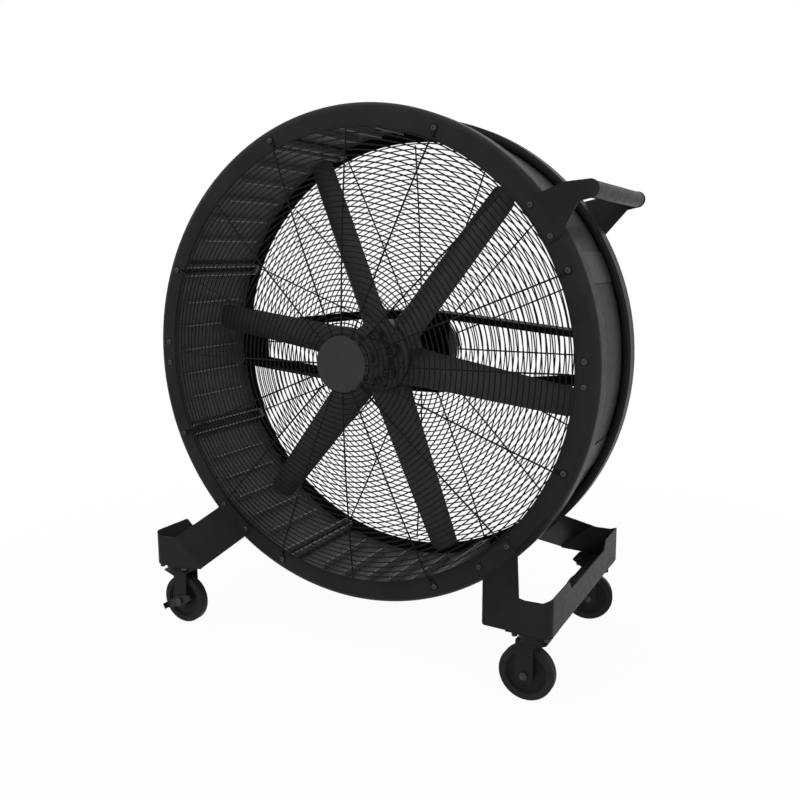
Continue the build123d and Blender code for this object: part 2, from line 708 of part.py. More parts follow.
def motor_bar():
    """Upper bar: an angle bent twice along its length, web behind and flange on top."""
    end_x = GUSSET_IN_X + GUSSET_NECK
    top = [(-end_x, bar_height(end_x)), (-BAR_FLAT_HALF, BAR_TOP)]
    top += [(BAR_FLAT_HALF, BAR_TOP), (end_x, bar_height(end_x))]
    flange = Polygon(*top, *[(x, z - BAR_T) for x, z in reversed(top)], align=None)
    web = Polygon(*top, *[(x, z - BAR_WEB) for x, z in reversed(top)], align=None)
    bar = slab(flange, FRAME_WEB_BACK - BAR_DEPTH, FRAME_WEB_BACK)
    bar += slab(web, FRAME_WEB_BACK - BAR_T, FRAME_WEB_BACK)
    bar -= [rod(HOLE_R, PLATE_FRONT, FRAME_WEB_BACK + 1, x, plate_bolt_z()) for x in plate_bolt_x()]
    return bar


def plate_bolt_x():
    return [-PLATE_BOLT_X, PLATE_BOLT_X]


def plate_bolt_z():
    return BAR_TOP - BAR_WEB / 2 - BAR_T / 2


def gusset():
    """Right gusset: joins the ends of both bars and is bolted to the ring's inner face."""
    root = bar_height(GUSSET_IN_X) + GUSSET_OVER
    neck_x = GUSSET_IN_X + GUSSET_NECK
    neck_z = root - GUSSET_NECK * BAR_SLOPE
    face = Polygon(
        (GUSSET_IN_X, -root),
        (GUSSET_IN_X, root),
        (neck_x, neck_z),
        (GUSSET_OUT_X, GUSSET_HALF_OUT),
        (GUSSET_OUT_X, -GUSSET_HALF_OUT),
        (neck_x, -neck_z),
        align=None,
    )
    for deg in (-FRAME_HALF_DEG, FRAME_HALF_DEG):
        face -= Pos(*polar(TAB_BOLT_R, deg)) * Circle(HOLE_R)
    return slab(face, FRAME_WEB_BACK, RING_IN)


def mount_plate():
    """Motor plate in front of the two bars, with a bore behind the motor neck."""
    outline = RectangleRounded(2 * PLATE_HALF_X, 2 * PLATE_HALF_Z, PLATE_CORNER_R)
    outline -= Circle(NECK_R - NECK_LAND)
    plate = slab(outline, PLATE_FRONT, PLATE_BACK)
    for x in plate_bolt_x():
        for z in (-plate_bolt_z(), plate_bolt_z()):
            plate -= rod(HOLE_R, PLATE_FRONT - 1, PLATE_BACK + 1, x, z)
    return plate


def plate_bolts():
    """Bolts from the front through the motor plate and the bar webs, with nuts behind."""
    grip = PLATE_T + BAR_T
    bolt = Pos(0, FRAME_WEB_BACK, 0) * button_bolt(grip, -NUT_H - BOLT_TIP)
    hex_nut = Pos(0, FRAME_WEB_BACK, 0) * nut(0)
    pieces = []
    for x in plate_bolt_x():
        for z in (-plate_bolt_z(), plate_bolt_z()):
            pieces.append(Pos(x, 0, z) * bolt)
            pieces.append(Pos(x, 0, z) * hex_nut)
    return pieces


# ---------------------------------------------------------------- motor
def motor_neck():
    """Front bearing carrier, seated on the motor plate."""
    seat_back = NECK_FRONT + BEARING_LIP + BEARING_W
    neck = rod(NECK_R, NECK_FRONT, PLATE_FRONT)
    neck = chamfer(neck.edges().filter_by(GeomType.CIRCLE).sort_by(Axis.Y)[0], NECK_CHAMFER)
    neck -= rod(NECK_BORE_R, seat_back, PLATE_FRONT + 1)
    neck -= rod(BEARING_R + SEAT_FIT, NECK_FRONT + BEARING_LIP, seat_back + 1)
    return neck - rod(SHAFT_R + BEARING_LIP, NECK_FRONT - 1, NECK_FRONT + BEARING_LIP + 1)


def bearing(front):
    """Ball bearing with a groove between its races on each face."""
    back = front + BEARING_W
    ring = rod(BEARING_R, front, back) - rod(SHAFT_R + RUN_FIT, front - 1, back + 1)
    mid_r = (BEARING_R + SHAFT_R) / 2
    groove = Circle(mid_r + BEARING_SLOT / 2) - Circle(mid_r - BEARING_SLOT / 2)
    depth = BEARING_W / 8
    return ring - slab(groove, front - 1, front + depth) - slab(groove, back - depth, back + 1)


def motor_housing():
    """Round shell with a front wall and a collar that fills the space between the bar webs."""
    shell = rod(MOTOR_R, MOTOR_FRONT, MOTOR_BACK)
    shell -= rod(MOTOR_R - MOTOR_WALL, MOTOR_FRONT + 2 * MOTOR_WALL, MOTOR_BACK + 1)
    shell += rod(SPIGOT_R, PLATE_BACK, MOTOR_FRONT)
    return shell - rod(NECK_BORE_R, PLATE_BACK - 1, MOTOR_BACK)


def end_bell():
    """Rear cover with the rear bearing's pocket."""
    pocket = MOTOR_BACK - BEARING_SINK
    bell = rod(MOTOR_R, MOTOR_BACK, BELL_BACK)
    bell = fillet(bell.edges().filter_by(GeomType.CIRCLE).sort_by(Axis.Y)[-1], BELL_T * 0.7)
    bell += rod(BEARING_R + 2 * MOTOR_WALL, pocket, MOTOR_BACK)
    return bell - rod(BEARING_R + SEAT_FIT, pocket - 1, pocket + BEARING_W)


def stator():
    """Wound stator seated in the shell, with its bore round the rotor core."""
    front = MOTOR_FRONT + 2.5 * MOTOR_WALL
    ring = rod(MOTOR_R - MOTOR_WALL - SEAT_FIT, front, MOTOR_BACK - 2.5 * MOTOR_WALL)
    return ring - rod(CORE_R_OUT + AIR_GAP, front - 1, MOTOR_BACK)


def rotor_core():
    front = MOTOR_FRONT + 3 * MOTOR_WALL
    core = rod(CORE_R_OUT, front, MOTOR_BACK - 3 * MOTOR_WALL)
    return core - rod(SHAFT_R + SEAT_FIT, front - 1, MOTOR_BACK)


def terminal_box():
    """Connection box on the rear cover."""
    box = Pos(0, BELL_BACK + BOX_DEPTH / 2, 0) * Box(BOX_W, BOX_DEPTH, BOX_H)
    box = fillet(box.edges().filter_by(Axis.Y), BOX_H / 10)
    return fillet(box.faces().sort_by(Axis.Y)[-1].edges(), BOX_H / 20)


def cable_gland():
    """Gland under the connection box, with its hexagon and its bore."""
    mid_y = BELL_BACK + BOX_DEPTH / 2
    top = -BOX_H / 2
    hexagon = 1.5 * GLAND_R
    total = 2.4 * GLAND_R
    body = down(RegularPolygon(GLAND_R, 6), top, hexagon)
    body += down(Circle(GLAND_R * 0.75), top - hexagon + 1, total - hexagon + 1)
    body -= down(Circle(GLAND_R * 0.45), top + 1, total + 2)
    return Pos(0, mid_y, 0) * body


# ---------------------------------------------------------------- rotor
def hub():
    """Cast hub: rim, cone, nose, six bolt bosses and six blade sockets."""
    profile = Polygon(
        (SHAFT_R + SEAT_FIT, -HUB_NOSE),
        (HUB_NOSE_R, -HUB_NOSE),
        (HUB_NOSE_R + 4, -HUB_NOSE + 4),
        (HUB_NOSE_R + 10, -HUB_NOSE + 21),
        (HUB_R - 8, -HUB_RIM_FRONT - 6),
        (HUB_R, -HUB_RIM_FRONT),
        (HUB_R, HUB_BACK),
        (SHAFT_R + SEAT_FIT, HUB_BACK),
        align=None,
    )
    body = revolve(profile, axis=Axis.Y)
    for deg in boss_angles():
        x, z = polar(HUB_BOSS_CIRCLE, deg)
        body += rod(HUB_BOSS_R, -HUB_BOSS_FRONT, -HUB_RIM_FRONT + 5, x, z)
    body -= rod(SHAFT_R + SEAT_FIT, -HUB_BOSS_FRONT - 1, HUB_BACK + 1)
    for deg in boss_angles():
        x, z = polar(HUB_BOSS_CIRCLE, deg)
        body -= rod(HUB_RECESS_R, -HUB_BOSS_FRONT - 1, -HUB_BOSS_FRONT + HUB_RECESS, x, z)
        body -= rod(HUB_BOLT_R + SEAT_FIT, -HUB_BOSS_FRONT, HUB_BACK - HUB_BOLT_STOP, x, z)
    for deg in blade_angles():
        socket_plane = Plane(origin=(BLADE_SHANK_IN - PLAY, BLADE_Y, 0), z_dir=(1, 0, 0))
        socket = extrude(socket_plane * Circle(BLADE_SHANK_R + SEAT_FIT), amount=HUB_R)
        body -= about_axis(socket, deg)
        x, z = polar(HUB_R - HUB_PIN_INSET, deg)
        body -= rod(HUB_PIN_R, -HUB_BOSS_FRONT, BLADE_Y - BLADE_SHANK_R + 2, x, z)
    return body


def blade_angles():
    return [BLADE_START_DEG + BLADE_DEG * i for i in range(BLADES)]


def boss_angles():
    return [deg + BLADE_DEG / 2 for deg in blade_angles()]


def hub_bolts():
    """Socket-head bolts in the boss recesses."""
    seat = -HUB_BOSS_FRONT + HUB_RECESS
    bolt = rod(HUB_BOLT_HEAD_R, seat - HUB_BOLT_HEAD_H, seat)
    bolt -= slab(RegularPolygon(HUB_BOLT_R * 0.8, 6), seat - HUB_BOLT_HEAD_H - 1, seat - HUB_BOLT_HEAD_H / 2)
    bolt += rod(HUB_BOLT_R, seat, HUB_BACK - HUB_BOLT_STOP - 1)
    return [about_axis(Pos(HUB_BOSS_CIRCLE, 0, 0) * bolt, deg) for deg in boss_angles()]


def hub_washer():
    """Retaining washer and bolt head on the nose."""
    front = -HUB_NOSE - WASHER_T
    washer = rod(WASHER_R, front, -HUB_NOSE)
    return washer + slab(RegularPolygon(WASHER_R / 2, 6), front - 2 * WASHER_T, front)


def shaft():
    bar = rod(SHAFT_R, -HUB_NOSE, MOTOR_BACK - BEARING_SINK + BEARING_W - PLAY)
    return chamfer(bar.edges().filter_by(GeomType.CIRCLE), SHAFT_R / 14)


def blade_section(radius):
    """Closed cambered section of the blade at a radius, as a face across the radius."""
    share = (radius - BLADE_ROOT_AT) / (BLADE_TIP_R - BLADE_ROOT_AT)
    chord = BLADE_ROOT_CHORD + (BLADE_TIP_CHORD - BLADE_ROOT_CHORD) * share
    pitch = BLADE_ROOT_PITCH + (BLADE_TIP_PITCH - BLADE_ROOT_PITCH) * share
    shift = BLADE_ROOT_SHIFT * (1 - share)
    half = chord / 2
    edge = BLADE_EDGE_T / 2
    front = BLADE_CAMBER + BLADE_THICK / 2
    back = BLADE_CAMBER - BLADE_THICK / 2
    outline = [
        ThreePointArc((-half, edge), (0, front), (half, edge)),
        Line((half, edge), (half, -edge)),
        ThreePointArc((half, -edge), (0, back), (-half, -edge)),
        Line((-half, -edge), (-half, edge)),
    ]
    # local x is the counter-clockwise side and local y the front side of the blade
    plane = Plane(origin=(radius, BLADE_Y, shift), x_dir=(0, 0, 1), z_dir=(1, 0, 0))
    return plane * (Rot(0, 0, -pitch) * make_face(outline))


def blade():
    """Twisted blade with a rounded tip and a round shank for the hub's socket."""
    step = (BLADE_TIP_R - BLADE_ROOT_AT) / 4
    radii = [HUB_R * 0.75] + [BLADE_ROOT_AT + step * i for i in range(5)]
    body = loft([blade_section(radius) for radius in radii])
    wide = 2 * BLADE_ROOT_CHORD
    corner_x = BLADE_TIP_R - BLADE_TIP_CORNER
    tip_w = BLADE_TIP_CHORD * math.cos(math.radians(BLADE_TIP_PITCH)) + 1
    planform = Pos(corner_x / 2, 0) * Rectangle(corner_x, wide)
    planform += Pos(corner_x, 0) * RectangleRounded(2 * BLADE_TIP_CORNER, tip_w, BLADE_TIP_CORNER - 0.1)
    body &= slab(planform, -wide, wide)
    body -= rod(HUB_R + SEAT_FIT, -wide, wide)
    shank_plane = Plane(origin=(BLADE_SHANK_IN, BLADE_Y, 0), z_dir=(1, 0, 0))
    return body + extrude(shank_plane * Circle(BLADE_SHANK_R), amount=BLADE_SHANK_LEN)


# ---------------------------------------------------------------- casters
def caster_bolt_places(side_x, side_y):
    return [
        (side_x * CASTER_X + dx, side_y * CASTER_Y + dy)
        for dx in (-CASTER_HOLES_X / 2, CASTER_HOLES_X / 2)
        for dy in (-CASTER_HOLES_Y / 2, CASTER_HOLES_Y / 2)
    ]


CASTER_SIDES = {
    "front_left": (-1, -1),
    "front_right": (1, -1),
    "rear_left": (-1, 1),
    "rear_right": (1, 1),
}


def place_caster(shape, corner):
    """Put a caster piece, drawn with its swivel axis on Z and its wheel towards +X, at a corner."""
    side_x, side_y = CASTER_SIDES[corner]
    spot = Pos(side_x * CASTER_X, side_y * CASTER_Y, FLANGE_Z)
    return spot * (Rot(0, 0, HEADINGS[corner]) * shape)


def caster_plate():
    """Top plate with the upper race and the kingpin."""
    outline = RectangleRounded(CASTER_PLATE_X, CASTER_PLATE_Y, CASTER_PLATE_R)
    for x in (-CASTER_HOLES_X / 2, CASTER_HOLES_X / 2):
        for y in (-CASTER_HOLES_Y / 2, CASTER_HOLES_Y / 2):
            outline -= Pos(x, y) * Circle(HOLE_R)
    plate = down(outline, 0, CASTER_PLATE_T)
    plate += down(Circle(RACE_R), -CASTER_PLATE_T, RACE_H)
    crown_under = CROWN_DROP + CROWN_T
    plate += down(Circle(KINGPIN_R), -CASTER_PLATE_T, crown_under + PLAY)
    plate += down(Circle(KINGPIN_HEAD_R), -crown_under - PLAY, KINGPIN_HEAD_H)
    return plate


def fork_outline():
    """Side view of a fork leg: from the crown down to a round end at the axle."""
    leg = Polygon(
        (-RACE_R, -CROWN_DROP),
        (RACE_R, -CROWN_DROP),
        (TRAIL + FORK_END_R, -CROWN_DROP - CROWN_T),
        (TRAIL + FORK_END_R, AXLE_Z),
        (TRAIL - FORK_END_R, AXLE_Z),
        (TRAIL - FORK_END_R, -CROWN_DROP - CROWN_T - FORK_SHOULDER),
        (-RACE_R, -CROWN_DROP - CROWN_T),
        align=None,
    )
    return leg + Pos(TRAIL, AXLE_Z) * Circle(FORK_END_R)


def fork():
    """Swivel fork: crown with the lower race, and two legs."""
    outer = FORK_GAP + FORK_T
    race_top = -CASTER_PLATE_T - RACE_H - PLAY
    body = down(Circle(RACE_R), race_top, CROWN_DROP + race_top)
    crown = RectangleRounded(2 * RACE_R, 2 * outer, CROWN_CORNER_R)
    body += down(crown, -CROWN_DROP, CROWN_T)
    for front in (-outer, FORK_GAP):
        body += slab(fork_outline(), front, front + FORK_T)
    body -= rod(AXLE_R + RUN_FIT, -outer - 1, outer + 1, TRAIL, AXLE_Z)
    return body - down(Circle(KINGPIN_R + RUN_FIT), 0, CROWN_DROP + CROWN_T + 1)


def axle(length_front):
    """Axle bolt with its head in front, and its nut behind the fork."""
    outer = FORK_GAP + FORK_T
    head = Pos(TRAIL, AXLE_Z) * RegularPolygon(AXLE_HEAD_R, 6)
    bolt = rod(AXLE_R, -length_front, outer + AXLE_HEAD_H + 2, TRAIL, AXLE_Z)
    bolt += slab(head, -length_front - AXLE_HEAD_H, -length_front)
    nut_face = head - Pos(TRAIL, AXLE_Z) * Circle(AXLE_R + SEAT_FIT)
    return [bolt, slab(nut_face, outer, outer + AXLE_HEAD_H)]


def wheel_core():
    """Moulded wheel centre with a recessed web and a hub."""
    core = rod(CORE_R, -CORE_W / 2, CORE_W / 2)
    dish = Circle(CORE_R - CORE_RIM) - Circle(WHEEL_HUB_R)
    core -= slab(dish, -CORE_W / 2 - 1, -CORE_W / 2 + CORE_DISH)
    core -= slab(dish, CORE_W / 2 - CORE_DISH, CORE_W / 2 + 1)
    core += rod(WHEEL_HUB_R, -HUB_W / 2, HUB_W / 2)
    core -= rod(AXLE_R + RUN_FIT, -HUB_W, HUB_W)
    return Pos(TRAIL, 0, AXLE_Z) * core


def tyre():
    ring = rod(WHEEL_R, -TYRE_W / 2, TYRE_W / 2) - rod(CORE_R + SEAT_FIT, -TYRE_W, TYRE_W)
    edges = ring.edges().filter_by(GeomType.CIRCLE).filter_by(lambda e: e.radius > WHEEL_R - 1)
    return Pos(TRAIL, 0, AXLE_Z) * fillet(edges, TYRE_EDGE_R)


def brake_lever():
    """Rocking lever on the axle, outside the front fork leg, with a turned-out tread."""
    back = -(FORK_GAP + FORK_T) - PLAY
    arms = Polygon(
        (-LEVER_LONG, -LEVER_W / 2),
        (0, -LEVER_HUB_R),
        (LEVER_SHORT, -LEVER_W / 2 + 2),
        (LEVER_SHORT, LEVER_W / 2 - 2),
        (0, LEVER_HUB_R),
        (-LEVER_LONG, LEVER_W / 2),
        align=None,
    )
    outline = arms - Circle(AXLE_R + RUN_FIT)
    lever = slab(outline, back - LEVER_T, back)
    tread = Pos(-LEVER_LONG + LEVER_T / 2, 0) * Rectangle(LEVER_T, LEVER_W)
    lever += slab(tread, back - LEVER_TREAD, back)
    short_tread = Pos(LEVER_SHORT - LEVER_T / 2, 0) * Rectangle(LEVER_T, LEVER_W - 4)
    lever += slab(short_tread, back - LEVER_TREAD / 2, back)
    return Pos(TRAIL, 0, AXLE_Z) * about_axis(lever, LEVER_TILT)


def caster_bolts():
    """Bolts from above through flange and caster plate, with nuts below."""
    head = Pos(0, 0, SHEET_T) * extrude(RegularPolygon(BOLT_HEAD_R, 6), amount=BOLT_HEAD_H)
    tip = CASTER_PLATE_T + NUT_H + 2
    bolt = head + Pos(0, 0, -tip) * extrude(Circle(BOLT_R), amount=tip + SHEET_T)
    nut_face = RegularPolygon(NUT_FLATS / 2, 6, major_radius=False) - Circle(BOLT_R + SEAT_FIT)
    hex_nut = down(nut_face, -CASTER_PLATE_T, NUT_H)
    pieces = []
    for sides in CASTER_SIDES.values():
        for x, y in caster_bolt_places(*sides):
            pieces.append(Pos(x, y, FLANGE_Z) * bolt)
            pieces.append(Pos(x, y, FLANGE_Z) * hex_nut)
    return pieces


# ---------------------------------------------------------------- write every node
os.makedirs("parts", exist_ok=True)

front_ring = drum_ring()
save("front_ring", front_ring)
save("rear_ring", to_back(front_ring))
one_post = post()
save("posts", group([about_axis(one_post, deg) for deg in POST_ANGLES]))
one_panel = side_panel()
save("side_panels", group([about_axis(one_panel, SECTOR_DEG * i) for i in range(SECTORS)]))

save("front_guard_rings", group(guard_rings(BADGE_R + WIRE_R + 1)))
save("front_guard_spokes", group(guard_spokes(BADGE_R - 10)))
save("guard_badge_disc", badge_disc())
save("rear_guard_rings", to_back(group(guard_rings(MOTOR_RING_R + WIRE_R + 3) + [motor_ring()])))
save("rear_guard_spokes", to_back(group(guard_spokes(MOTOR_RING_R - SPOKE_R))))
save("front_ring_bolts", group(ring_bolts(0)))
save("rear_ring_bolts", to_back(group(ring_bolts(GUSSET_T))))

right_stand = stand()
save("stand_right", right_stand)
save("stand_left", to_left(right_stand))
front_bracket = handle_bracket()
save("handle_bracket_front", front_bracket)
save("handle_bracket_rear", to_back(front_bracket))
save("handle_tube", handle_tube())

upper_bar = motor_bar()
save("motor_bar_upper", upper_bar)
save("motor_bar_lower", mirror(upper_bar, about=Plane.XY))
right_gusset = gusset()
save("bar_gussets", group([right_gusset, to_left(right_gusset)]))
save("motor_mount_plate", mount_plate())
save("motor_plate_bolts", group(plate_bolts()))
save("motor_neck", motor_neck())
save("motor_housing", motor_housing())
save("motor_end_bell", end_bell())
save("motor_bearings", group([bearing(NECK_FRONT + BEARING_LIP), bearing(MOTOR_BACK - BEARING_SINK)]))
save("motor_stator", stator())
save("terminal_box", terminal_box())
save("cable_gland", cable_gland())

save("motor_shaft", shaft())
save("motor_rotor_core", rotor_core())
save("fan_hub", hub())
save("hub_bolts", group(hub_bolts()))
save("hub_washer", hub_washer())
one_blade = blade()
for i, deg in enumerate(blade_angles()):
    save(f"blade_{i + 1}", about_axis(one_blade, deg))

save("caster_bolts", group(caster_bolts()))
spots = [Pos(x * CASTER_X, y * CASTER_Y, FLANGE_Z) for x, y in CASTER_SIDES.values()]
one_plate = caster_plate()
save("caster_plates", group([spot * one_plate for spot in spots]))
for corner in CASTER_SIDES:
    face = FORK_GAP + FORK_T
    if corner in BRAKED:
        face += PLAY + LEVER_T + PLAY
        save(f"brake_lever_{corner}", place_caster(brake_lever(), corner))
    save(f"caster_fork_{corner}", place_caster(fork(), corner))
    save(f"wheel_core_{corner}", place_caster(wheel_core(), corner))
    save(f"wheel_tyre_{corner}", place_caster(tyre(), corner))
    save(f"axle_{corner}", place_caster(group(axle(face)), corner))
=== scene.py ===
import json
import math

import bmesh
import bpy
from mathutils import Matrix, Vector

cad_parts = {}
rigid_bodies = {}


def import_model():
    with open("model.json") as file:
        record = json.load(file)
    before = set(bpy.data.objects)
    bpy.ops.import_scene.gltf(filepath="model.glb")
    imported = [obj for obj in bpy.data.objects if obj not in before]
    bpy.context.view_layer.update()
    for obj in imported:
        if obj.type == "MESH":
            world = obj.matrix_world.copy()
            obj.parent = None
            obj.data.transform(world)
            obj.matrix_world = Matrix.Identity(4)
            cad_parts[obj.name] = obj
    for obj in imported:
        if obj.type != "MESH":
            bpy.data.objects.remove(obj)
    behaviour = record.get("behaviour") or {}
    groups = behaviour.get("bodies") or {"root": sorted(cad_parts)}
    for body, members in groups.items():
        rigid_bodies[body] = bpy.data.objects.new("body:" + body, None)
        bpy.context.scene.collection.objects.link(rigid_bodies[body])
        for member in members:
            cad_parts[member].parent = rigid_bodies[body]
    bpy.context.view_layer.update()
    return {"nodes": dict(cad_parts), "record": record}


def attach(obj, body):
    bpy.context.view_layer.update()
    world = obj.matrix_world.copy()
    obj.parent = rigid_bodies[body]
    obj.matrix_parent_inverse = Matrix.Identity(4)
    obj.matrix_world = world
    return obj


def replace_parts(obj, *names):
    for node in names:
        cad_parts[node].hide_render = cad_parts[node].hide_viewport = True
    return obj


for old in list(bpy.data.objects):
    bpy.data.objects.remove(old)
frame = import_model()
SCENE = bpy.context.scene
NODES = frame["nodes"]
SLOT_OF = {row["node"]: row["material_slot"] for row in frame["record"]["subparts"]}

# lengths in metres
AXIS_Z = 0.755                       # drum axis above the floor
PANEL_R = 0.611                      # outside of the side panels

# ------------------------------------------------------------------ camera and light
CAMERA_AT = Vector((1.1304, -2.1013, 1.0176))
CAMERA_RIGHT = Vector((0.8888, 0.4582, -0.0071))
CAMERA_UP = Vector((-0.0671, 0.1455, 0.9871))
CAMERA_BACK = Vector((0.4533, -0.8769, 0.1601))
FOCAL_PX = 882.22                    # focal length on an image IMAGE_PX wide
IMAGE_PX = 800
SENSOR_MM = 36.0
WORLD_LIGHT = 0.70                   # strength of the white world where it falls on things
FLOOR_REACH = 30.0
FLOOR_GREY = (0.86, 0.86, 0.86, 1)
SHADOW_SHARE = 0.95                  # how white the floor is seen under the fan, 1 from SHADOW_FAR on
SHADOW_NEAR = 0.9
SHADOW_FAR = 2.2
WHITE = (1, 1, 1, 1)
LAMPS = {                            # place, aim, size, watts
    "key_right": ((2.8, -2.6, 2.0), (-0.1, 0.0, 0.8), (2.4, 2.4), 26.0),
    "fill_left": ((-2.6, -3.0, 3.2), (0.0, 0.0, 0.7), (3.0, 2.4), 44.0),
    "top": ((-0.4, -0.6, 4.0), (0.0, 0.0, 0.8), (3.0, 3.0), 20.0),
}


def add_camera():
    data = bpy.data.cameras.new("camera")
    data.sensor_width = SENSOR_MM
    data.lens = FOCAL_PX / IMAGE_PX * SENSOR_MM
    data.clip_start = 0.05
    data.clip_end = 100.0
    camera = bpy.data.objects.new("camera", data)
    axes = Matrix((CAMERA_RIGHT, CAMERA_UP, CAMERA_BACK)).transposed()
    camera.matrix_world = Matrix.Translation(CAMERA_AT) @ axes.to_4x4()
    SCENE.collection.objects.link(camera)
    SCENE.camera = camera


def shade(tree, kind, **inputs):
    """A node with its sockets set, a space in a socket's name written as an underscore."""
    node = tree.nodes.new(kind)
    for name, value in inputs.items():
        node.inputs[name.replace("_", " ")].default_value = value
    return node


def noise(tree, where, scale, detail=2.0, rough=0.5):
    node = shade(tree, "ShaderNodeTexNoise", Scale=scale, Detail=detail, Roughness=rough)
    tree.links.new(where, node.inputs["Vector"])
    return node.outputs["Fac"]


def between(tree, value, low, high, to_low, to_high):
    """The value carried from one range to another, kept inside it."""
    node = tree.nodes.new("ShaderNodeMapRange")
    node.clamp = True
    for name, number in zip(("From Min", "From Max", "To Min", "To Max"), (low, high, to_low, to_high)):
        node.inputs[name].default_value = number
    tree.links.new(value, node.inputs["Value"])
    return node.outputs["Result"]


def mixed(tree, share, first, second):
    """A colour, plain or from a socket, that turns into a plain colour as share goes from 0 to 1."""
    node = tree.nodes.new("ShaderNodeMix")
    node.data_type = "RGBA"
    if isinstance(first, tuple):
        node.inputs["A"].default_value = (*first, 1)
    else:
        tree.links.new(first, node.inputs["A"])
    node.inputs["B"].default_value = (*second, 1)
    tree.links.new(share, node.inputs["Factor"])
    return node.outputs["Result"]


def maths(tree, operation, first, second=None):
    """A Math node on a socket and, where it takes two values, another socket or a plain number."""
    node = tree.nodes.new("ShaderNodeMath")
    node.operation = operation
    tree.links.new(first, node.inputs[0])
    if isinstance(second, float):
        node.inputs[1].default_value = second
    elif second is not None:
        tree.links.new(second, node.inputs[1])
    return node.outputs[0]


def vector_length(tree, vector):
    node = tree.nodes.new("ShaderNodeVectorMath")
    node.operation = "LENGTH"
    tree.links.new(vector, node.inputs[0])
    return node.outputs["Value"]


def add_area(name, place, aim, size, power):
    data = bpy.data.lights.new(name, "AREA")
    data.shape = "RECTANGLE"
    data.size, data.size_y = size
    data.energy = power
    lamp = bpy.data.objects.new(name, data)
    turn = (Vector(aim) - Vector(place)).to_track_quat("-Z", "Y")
    lamp.matrix_world = Matrix.Translation(place) @ turn.to_matrix().to_4x4()
    SCENE.collection.objects.link(lamp)


def seen_directly(tree):
    """1 for what the camera, a mirror or a glass pane sees, 0 for light that falls on things."""
    rays = tree.nodes.new("ShaderNodeLightPath").outputs
    mirrored = maths(tree, "MAXIMUM", rays["Is Camera Ray"], rays["Is Glossy Ray"])
    return maths(tree, "MAXIMUM", mirrored, rays["Is Transmission Ray"])


def output_mix(tree, kind, share, lit, seen):
    """Output of two shaders: the first where share is 0, the second where it is 1."""
    mix = tree.nodes.new("ShaderNodeMixShader")
    out = tree.nodes.new(kind)
    tree.links.new(share, mix.inputs[0])
    tree.links.new(lit.outputs[0], mix.inputs[1])
    tree.links.new(seen.outputs[0], mix.inputs[2])
    tree.links.new(mix.outputs[0], out.inputs["Surface"])


def add_world():
    world = bpy.data.worlds.new("world")
    SCENE.world = world
    world.use_nodes = True
    tree = world.node_tree
    tree.nodes.clear()
    lit = shade(tree, "ShaderNodeBackground", Color=WHITE, Strength=WORLD_LIGHT)
    seen = shade(tree, "ShaderNodeBackground", Color=WHITE, Strength=1.0)
    output_mix(tree, "ShaderNodeOutputWorld", seen_directly(tree), lit, seen)


def add_floor():
    """Pale floor that runs into the white background and keeps a soft shadow."""
    mesh = bpy.data.meshes.new("floor")
    corners = [(x * FLOOR_REACH, y * FLOOR_REACH, 0) for x, y in ((-1, -1), (1, -1), (1, 1), (-1, 1))]
    mesh.from_pydata(corners, [], [(0, 1, 2, 3)])
    floor = bpy.data.objects.new("floor", mesh)
    SCENE.collection.objects.link(floor)
    material = bpy.data.materials.new("floor")
    material.use_nodes = True
    tree = material.node_tree
    tree.nodes.clear()
    matte = shade(tree, "ShaderNodeBsdfDiffuse", Color=FLOOR_GREY)
    white = shade(tree, "ShaderNodeEmission", Strength=1.0)
    distance = vector_length(tree, tree.nodes.new("ShaderNodeTexCoord").outputs["Object"])
    fade = between(tree, distance, SHADOW_NEAR, SHADOW_FAR, SHADOW_SHARE, 1.0)
    share = maths(tree, "MULTIPLY", seen_directly(tree), fade)
    output_mix(tree, "ShaderNodeOutputMaterial", share, matte, white)
    mesh.materials.append(material)


add_camera()
add_world()
add_floor()
for name, lamp in LAMPS.items():
    add_area(name, *lamp)


# ------------------------------------------------------------------ materials
def grey(value, warm=0.0):
    return (value * (1 + warm), value, value * (1 - warm))


def from_axis(tree, where):
    """Distance from the drum axis, and distance from the drum's middle plane."""
    parts = tree.nodes.new("ShaderNodeSeparateXYZ")
    tree.links.new(where, parts.inputs[0])
    flat = tree.nodes.new("ShaderNodeCombineXYZ")
    tree.links.new(parts.outputs["X"], flat.inputs["X"])
    tree.links.new(maths(tree, "SUBTRACT", parts.outputs["Z"], AXIS_Z), flat.inputs["Z"])
    return vector_length(tree, flat.outputs[0]), maths(tree, "ABSOLUTE", parts.outputs["Y"])


